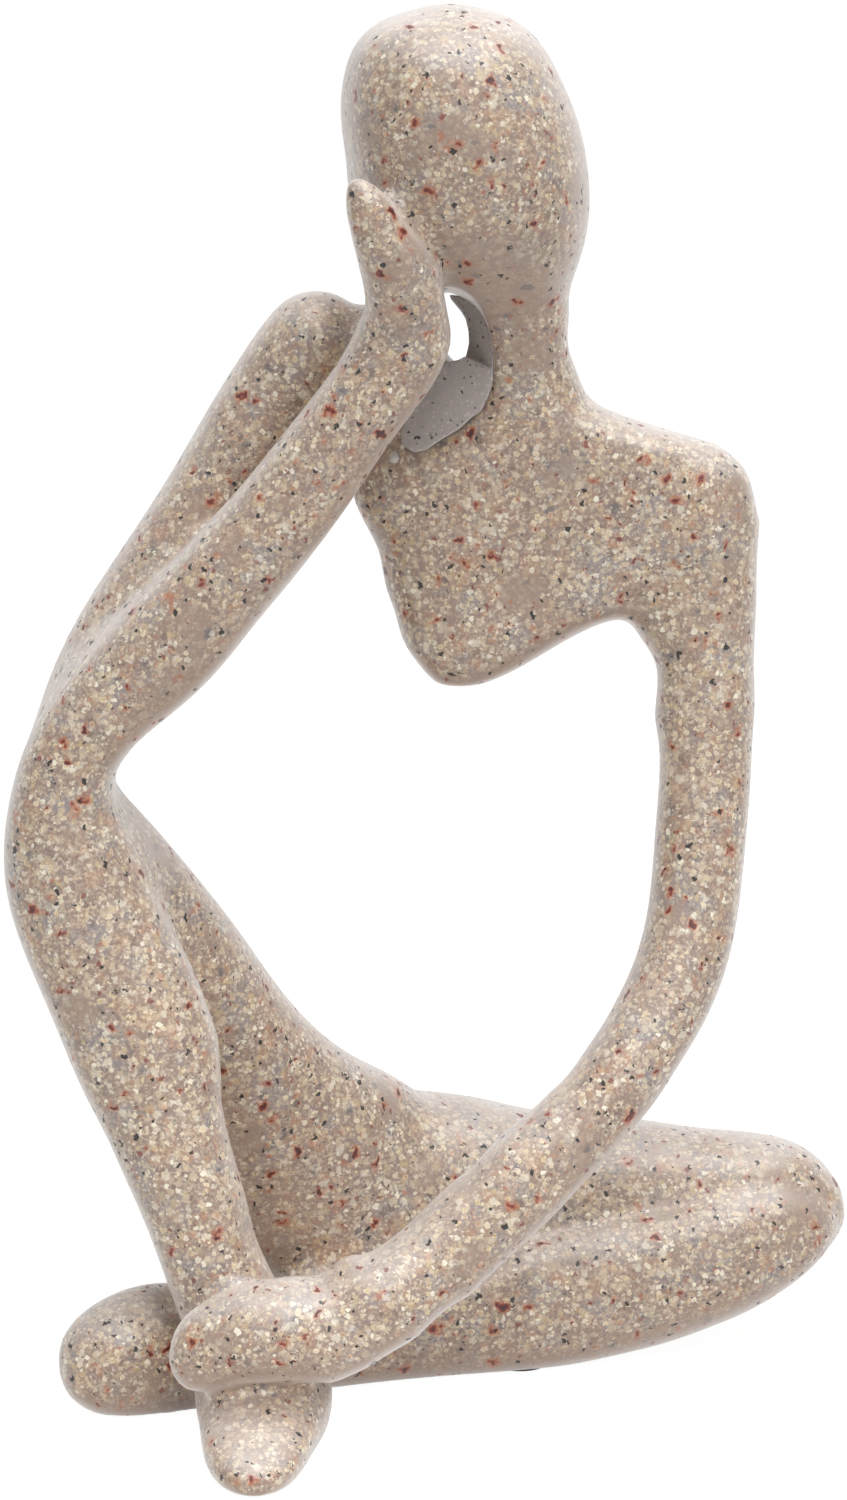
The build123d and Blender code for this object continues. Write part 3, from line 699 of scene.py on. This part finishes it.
def pad_rubber(finish):
    """Black rubber with a fine moulded grain and a film of dust."""
    material = clouded("Pad Rubber", "film", finish.rubber, PAD_DUST, {})
    tree = material.node_tree
    add_bump(tree, clouds(tree, place_on(tree), "moulded"), strength=0.4, depth=0.05)
    return material


def dowel_steel(finish):
    """Drawn steel wire with fine scratches."""
    return clouded("Dowel Steel", "scratch", finish.steel, STEEL_SCRATCH, {"Metallic": 1.0})


class STATUE_OT_castings(bpy.types.Operator):
    """Soften the creases between the limbs and cut the skin back into its four castings"""

    bl_idname = "statue.castings"
    bl_label = "Castings"

    def execute(self, context):
        sizes = context.scene.statue_castings
        parts = self.shaped_copies()
        trees = [search_tree(part) for part in parts]
        skin = self.whole_skin(parts, sizes)
        self.fill_creases(skin, sizes)
        self.cut_joints(skin, sizes)
        material = sand_resin(context.scene.statue_resin)
        for name, piece in self.castings_of(skin, trees).items():
            finish_piece(piece, "root", material, "sand_resin", name)
        return {"FINISHED"}

    def shaped_copies(self):
        """Copies of the castings, brought closer to the real limbs."""
        parts = [copy_of(name) for name in CASTINGS]
        self.sag_arm(parts[CASTINGS.index("upper_body")])
        self.draw_in_shin(parts[CASTINGS.index("raised_leg")])
        self.lift_groove(parts[CASTINGS.index("folded_leg")])
        return parts

    def whole_skin(self, parts, sizes):
        """One closed skin over the castings, the webs between their limbs and the recesses for the pads."""
        for part in parts:
            regrid(part, FIRST_GRID * MM)
        for name, closed, fading, left in WEBS:
            parts += self.web(points_of(parts[CASTINGS.index(name)]), closed * MM, fading * MM, left)
        parts += [self.plug(name) for name in PADS]
        select_only(*parts)
        bpy.ops.object.join()
        skin = context_object()
        bpy.ops.object.transform_apply(location=True, rotation=True, scale=True)
        skin.name = "whole_skin"
        swell(skin, SWELL * MM)
        regrid(skin, sizes.voxel)
        skin = keep_largest(skin)
        swell(skin, -SWELL * MM)
        return skin

    def sag_arm(self, piece):
        """Lowers the left forearm and hand, each edge of the limb by its own amount."""
        points = points_of(piece)
        across, low, high, low_drop, high_drop = np.array(SAG).T * MM
        x, z = points[:, 0], points[:, 2]
        bottom, top = np.interp(x, across, low), np.interp(x, across, high)
        share = np.clip((z - bottom) / (top - bottom), 0, 1)
        drop = np.interp(x, across, low_drop) * (1 - share) + np.interp(x, across, high_drop) * share
        points[:, 2] -= np.where(z < ARM_TOP * MM, drop, 0)
        put_points(piece, points)

    def draw_in_shin(self, piece):
        """Narrows the shin on its inner side, in front of the thigh."""
        points = points_of(piece)
        x, y, z = points.T
        height, waist = np.array(SHIN_WAIST).T * MM
        level, middle = np.array(SHIN_MIDDLE).T * MM
        back, front = SHIN_BACK
        shin = np.clip((back * MM - y) / ((back - front) * MM), 0, 1)
        side = np.clip((x - np.interp(z, level, middle)) / (SHIN_SIDE * MM), 0, 1)
        points[:, 0] -= np.interp(z, height, waist) * shin * side
        put_points(piece, points)

    def lift_groove(self, piece):
        """Raises the groove between the folded thigh and shin, and leaves the leg's outline where it is."""
        points = points_of(piece)
        x, y, z = points.T
        across, lift = np.array(GROOVE_LIFT).T * MM
        low, high = GROOVE_SPAN
        share = np.clip((z / MM - low) / (high - low), 0, 1)
        points[:, 2] += np.interp(x, across, lift) * np.sin(share * math.pi)
        put_points(piece, points)

    def web(self, points, closed, fading, left):
        """Convex slices over two limbs of one casting, which sink back into them towards the fading end."""
        slices = []
        step = (fading - closed) / WEB_SLICES
        for index in range(WEB_SLICES):
            start = closed + step * index
            low, high = sorted((start, start + step * SLICE_REACH))
            section = points[(points[:, 2] > low) & (points[:, 2] < high)]
            middle = section.mean(axis=0)
            size = 1 - (1 - left) * max(0, index / (WEB_SLICES - 1) * 2 - 1)
            section = middle + (section - middle) * (size, size, 1)
            mesh = bpy.data.meshes.new("web_slice")
            mesh.from_pydata(section.tolist(), [], [])
            piece = new_piece("web_slice", mesh)
            edit_all(piece)
            bpy.ops.mesh.convex_hull()
            bpy.ops.object.mode_set(mode="OBJECT")
            slices.append(piece)
        return slices

    def plug(self, name):
        """A round plug that closes the recess over one pad."""
        low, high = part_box(name)
        middle = middle_of(name)
        radius = (high[0] - low[0]) / 2 + PLUG_MARGIN * MM
        bpy.ops.object.select_all(action="DESELECT")
        bpy.ops.mesh.primitive_cylinder_add(vertices=48, radius=radius, depth=PLUG_THICKNESS * MM,
                                            location=(middle.x, middle.y, PLUG_HEIGHT * MM))
        return context_object()

    def fill_creases(self, skin, sizes):
        """Fillets the creases, where smoothing moves the skin outwards, and leaves the limbs as thick."""
        smooth(skin, FIRST_PASSES)
        before = points_of(skin)
        normals = np.empty(len(skin.data.vertices) * 3)
        skin.data.vertices.foreach_get("normal", normals)
        smooth(skin, sizes.crease_passes)
        after = points_of(skin)
        outward = ((after - before) * normals.reshape(-1, 3)).sum(axis=1)
        share = np.clip(outward / (CREASE_DEPTH * MM), 0, 1)
        for middle, radius, left in CRISP:
            away = np.linalg.norm(before - np.array(middle) * MM, axis=1) / (radius * MM)
            share *= left + (1 - left) * np.clip(away * 2 - 1, 0, 1)
        put_points(skin, before + (after - before) * share[:, None])
        smooth(skin, LAST_PASSES)
        before = points_of(skin)
        smooth(skin, sizes.crease_passes)
        share = np.zeros(len(before))
        for middle, radius in RELAXED:
            away = np.linalg.norm(before - np.array(middle) * MM, axis=1) / (radius * MM)
            share = np.maximum(share, np.clip(2 - away * 2, 0, 1))
        put_points(skin, before + (points_of(skin) - before) * share[:, None])
        points = points_of(skin)
        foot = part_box("foot_pad")[0][2] + SKIN_FOOT * MM
        points[:, 2] = np.maximum(points[:, 2], foot)
        put_points(skin, points)

    def cut_joints(self, skin, sizes):
        """Puts a straight edge loop round each flat joint."""
        for middle, normal in SEAMS:
            middle = Vector(middle) * MM
            select_only(skin)
            bpy.ops.object.mode_set(mode="EDIT")
            bpy.ops.mesh.select_all(action="DESELECT")
            bpy.ops.object.mode_set(mode="OBJECT")
            for face in skin.data.polygons:
                face.select = (face.center - middle).length < sizes.seam_reach
            bpy.ops.object.mode_set(mode="EDIT")
            bpy.ops.mesh.select_mode(type="FACE")
            bpy.ops.mesh.bisect(plane_co=middle, plane_no=normal, threshold=0.01 * MM)
            bpy.ops.object.mode_set(mode="OBJECT")

    def castings_of(self, skin, trees):
        """Separates the skin by the casting that each face is nearest to, and closes each piece inside."""
        owner = []
        for face in skin.data.polygons:
            gaps = [tree.find_nearest(face.center)[3] for tree in trees]
            owner.append(gaps.index(min(gaps)))
        owner = self.tidy_borders(skin, np.array(owner))
        pieces = {}
        for index, name in enumerate(CASTINGS):
            if not (owner == index).any():
                raise RuntimeError("no skin is nearest to " + name)
            piece = new_piece(name + "_cast", skin.data.copy())
            bpy.ops.object.mode_set(mode="EDIT")
            bpy.ops.mesh.select_mode(type="FACE")
            bpy.ops.mesh.select_all(action="DESELECT")
            bpy.ops.object.mode_set(mode="OBJECT")
            piece.data.polygons.foreach_set("select", owner != index)
            bpy.ops.object.mode_set(mode="EDIT")
            bpy.ops.mesh.delete(type="FACE")
            bpy.ops.mesh.select_mode(type="EDGE")
            bpy.ops.mesh.select_all(action="DESELECT")
            bpy.ops.mesh.select_non_manifold(extend=False)
            bpy.ops.mesh.mark_sharp()
            bpy.ops.mesh.fill_holes(sides=0)
            bpy.ops.mesh.select_all(action="SELECT")
            bpy.ops.mesh.quads_convert_to_tris(quad_method="BEAUTY", ngon_method="BEAUTY")
            bpy.ops.mesh.normals_make_consistent(inside=False)
            bpy.ops.object.mode_set(mode="OBJECT")
            bpy.ops.object.shade_smooth()
            pieces[name] = piece
        bpy.data.objects.remove(skin)
        return pieces

    def tidy_borders(self, skin, owner):
        """Gives a face to the casting that most of its neighbours belong to, so borders run straight."""
        mesh = skin.data
        faces_of = [[] for _ in mesh.edges]
        for face in mesh.polygons:
            for loop in face.loop_indices:
                faces_of[mesh.loops[loop].edge_index].append(face.index)
        pairs = np.array([pair for pair in faces_of if len(pair) == 2])
        for _ in range(VOTES):
            votes = np.zeros((len(owner), len(CASTINGS)))
            np.add.at(votes, (pairs[:, 0], owner[pairs[:, 1]]), 1)
            np.add.at(votes, (pairs[:, 1], owner[pairs[:, 0]]), 1)
            votes[np.arange(len(owner)), owner] += OWN_VOTE
            owner = votes.argmax(axis=1)
        return owner


class STATUE_OT_filler(bpy.types.Operator):
    """Grey filler trimmed flat between the wrist, the neck and the chest"""

    bl_idname = "statue.filler"
    bl_label = "Grey filler"

    def execute(self, context):
        finish = context.scene.statue_filler
        piece = copy_of("seam_filler")
        piece.name = "filler_facet"
        edit_all(piece)
        bpy.ops.mesh.dissolve_limited(angle_limit=math.radians(2))
        bpy.ops.object.mode_set(mode="OBJECT")
        regrid(piece, FILLER_GRID * MM)
        smooth(piece, FILLER_PASSES)
        swell(piece, finish.proud)
        bpy.ops.object.shade_smooth()
        finish_piece(piece, "root", putty(finish), "grey_filler", "seam_filler")
        return {"FINISHED"}


class STATUE_OT_glue(bpy.types.Operator):
    """Clear drop of glue that has run out beside the forearm"""

    bl_idname = "statue.glue"
    bl_label = "Glue drop"

    def execute(self, context):
        low, high = (Vector(corner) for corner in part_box("glue_bead"))
        middle = middle_of("glue_bead")
        bpy.ops.object.select_all(action="DESELECT")
        bpy.ops.mesh.primitive_uv_sphere_add(segments=32, ring_count=20, radius=0.5, location=middle)
        piece = context_object()
        piece.name = "glue_drop"
        piece.scale = (high - low) * DROP_SHARE
        bpy.ops.object.transform_apply(location=True, rotation=True, scale=True)
        points = points_of(piece)
        height = (points[:, 2] - low.z) / (high.z - low.z)
        for axis in (0, 1):
            out = points[:, axis] - middle[axis]
            points[:, axis] = middle[axis] + out * (1.0 - DROP_TAPER * height**2)
        put_points(piece, points)
        bpy.ops.object.shade_smooth()
        finish_piece(piece, "root", clear_glue(context.scene.statue_filler), "clear_glue", "glue_bead")
        return {"FINISHED"}


class STATUE_OT_fittings(bpy.types.Operator):
    """Rubber for the pads underneath and steel for the dowels inside"""

    bl_idname = "statue.fittings"
    bl_label = "Pads and dowels"

    def execute(self, context):
        finish = context.scene.statue_filler
        for names, material in ((PADS, pad_rubber(finish)), (DOWELS, dowel_steel(finish))):
            for name in names:
                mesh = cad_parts[name].data
                mesh.materials.clear()
                mesh.materials.append(material)
        return {"FINISHED"}


class STATUE_OT_studio(bpy.types.Operator):
    """Pale table, soft lights and the camera at the photograph's angle"""

    bl_idname = "statue.studio"
    bl_label = "Studio"

    def execute(self, context):
        sizes = context.scene.statue_studio
        self.floor(sizes)
        self.lights(sizes)
        self.world(sizes)
        self.camera(sizes)
        context.scene.view_settings.view_transform = "Standard"
        return {"FINISHED"}

    def floor(self, sizes):
        """A wide table top, lit for shadows and white to the eye."""
        bpy.ops.object.select_all(action="DESELECT")
        bpy.ops.mesh.primitive_plane_add(size=TABLE_WIDTH, location=(0, 0, 0))
        floor = context_object()
        floor.name = "studio_floor"
        material, tree, surface = new_material("Studio Floor", {
            "Base Color": shade(sizes.floor), "Roughness": 0.9, "Specular IOR Level": 0.1})
        glow = node(tree, "ShaderNodeEmission", inputs={"Color": WHITE, "Strength": TABLE_GLOW})
        share = times(tree, seen_rays(tree), GLOW_SHARE)
        mixed = node(tree, "ShaderNodeMixShader",
                     inputs={0: share, 1: surface.outputs[0], 2: glow.outputs[0]})
        tree.links.new(mixed.outputs[0], tree.nodes["Material Output"].inputs["Surface"])
        floor.data.materials.append(material)

    def lamp(self, kind, name, power, place, target):
        """The light of a lamp that points at the target."""
        bpy.ops.object.light_add(type=kind, location=place)
        lamp = context_object()
        lamp.name = "studio_" + name
        lamp.data.energy = power
        lamp.rotation_euler = (target - lamp.location).to_track_quat("-Z", "Y").to_euler()
        return lamp.data

    def lights(self, sizes):
        """A large lamp above, a soft one beside the camera and a narrow one on the foot."""
        target = Vector(sizes.target)
        self.lamp("AREA", "key", sizes.key, KEY_PLACE, target).size = KEY_SIZE
        self.lamp("AREA", "fill", sizes.fill, FILL_PLACE, target).size = FILL_SIZE
        aim = middle_of("foot_pad") + Vector((0, 0, SPOT_AIM * MM))
        spot = self.lamp("SPOT", "foot", sizes.foot, SPOT_PLACE, aim)
        spot.shadow_soft_size = SPOT_SIZE
        spot.spot_size = math.radians(SPOT_ANGLE)
        spot.spot_blend = 1.0

    def world(self, sizes):
        """Even light on the object, with white behind it."""
        world = bpy.data.worlds.new("Studio")
        world.use_nodes = True
        tree = world.node_tree
        even = node(tree, "ShaderNodeBackground", inputs={"Color": WHITE, "Strength": sizes.ambient})
        white = node(tree, "ShaderNodeBackground", inputs={"Color": WHITE, "Strength": 1.0})
        mixed = node(tree, "ShaderNodeMixShader",
                     inputs={0: seen_rays(tree), 1: even.outputs[0], 2: white.outputs[0]})
        tree.links.new(mixed.outputs[0], tree.nodes["World Output"].inputs["Surface"])
        bpy.context.scene.world = world

    def camera(self, sizes):
        """The camera in front of the figure, looking down on it a little."""
        target = Vector(sizes.target)
        reach = Vector((0, -math.cos(sizes.elevation), math.sin(sizes.elevation))) * sizes.distance
        bpy.ops.object.camera_add(location=target + reach)
        camera = context_object()
        camera.name = "studio_camera"
        camera.rotation_euler = (math.pi / 2 - sizes.elevation, 0, 0)
        camera.data.lens = sizes.lens
        camera.data.sensor_width = FRAME_HEIGHT
        camera.data.clip_start = 0.01
        bpy.context.scene.camera = camera


class STATUE_PT_panel(bpy.types.Panel):
    """The statue's steps in the order in which they are run"""

    bl_label = "Statue"
    bl_idname = "STATUE_PT_panel"
    bl_space_type = "VIEW_3D"
    bl_region_type = "UI"
    bl_category = "Statue"

    def draw(self, context):
        for step in STEPS:
            self.layout.operator(step.bl_idname)


STEPS = (STATUE_OT_castings, STATUE_OT_filler, STATUE_OT_glue, STATUE_OT_fittings, STATUE_OT_studio)
SETTINGS = {"statue_castings": CastingSizes, "statue_resin": ResinFinish, "statue_filler": FillerFinish,
            "statue_studio": StudioSizes}


def register():
    for settings in SETTINGS.values():
        bpy.utils.register_class(settings)
    for step in STEPS:
        bpy.utils.register_class(step)
    bpy.utils.register_class(STATUE_PT_panel)
    for name, settings in SETTINGS.items():
        setattr(bpy.types.Scene, name, PointerProperty(type=settings))


def unregister():
    for name in SETTINGS:
        delattr(bpy.types.Scene, name)
    bpy.utils.unregister_class(STATUE_PT_panel)
    for step in reversed(STEPS):
        bpy.utils.unregister_class(step)
    for settings in SETTINGS.values():
        bpy.utils.unregister_class(settings)


def main():
    register()
    bpy.ops.statue.castings()
    bpy.ops.statue.filler()
    bpy.ops.statue.glue()
    bpy.ops.statue.fittings()
    bpy.ops.statue.studio()


if __name__ == "__main__":
    main()
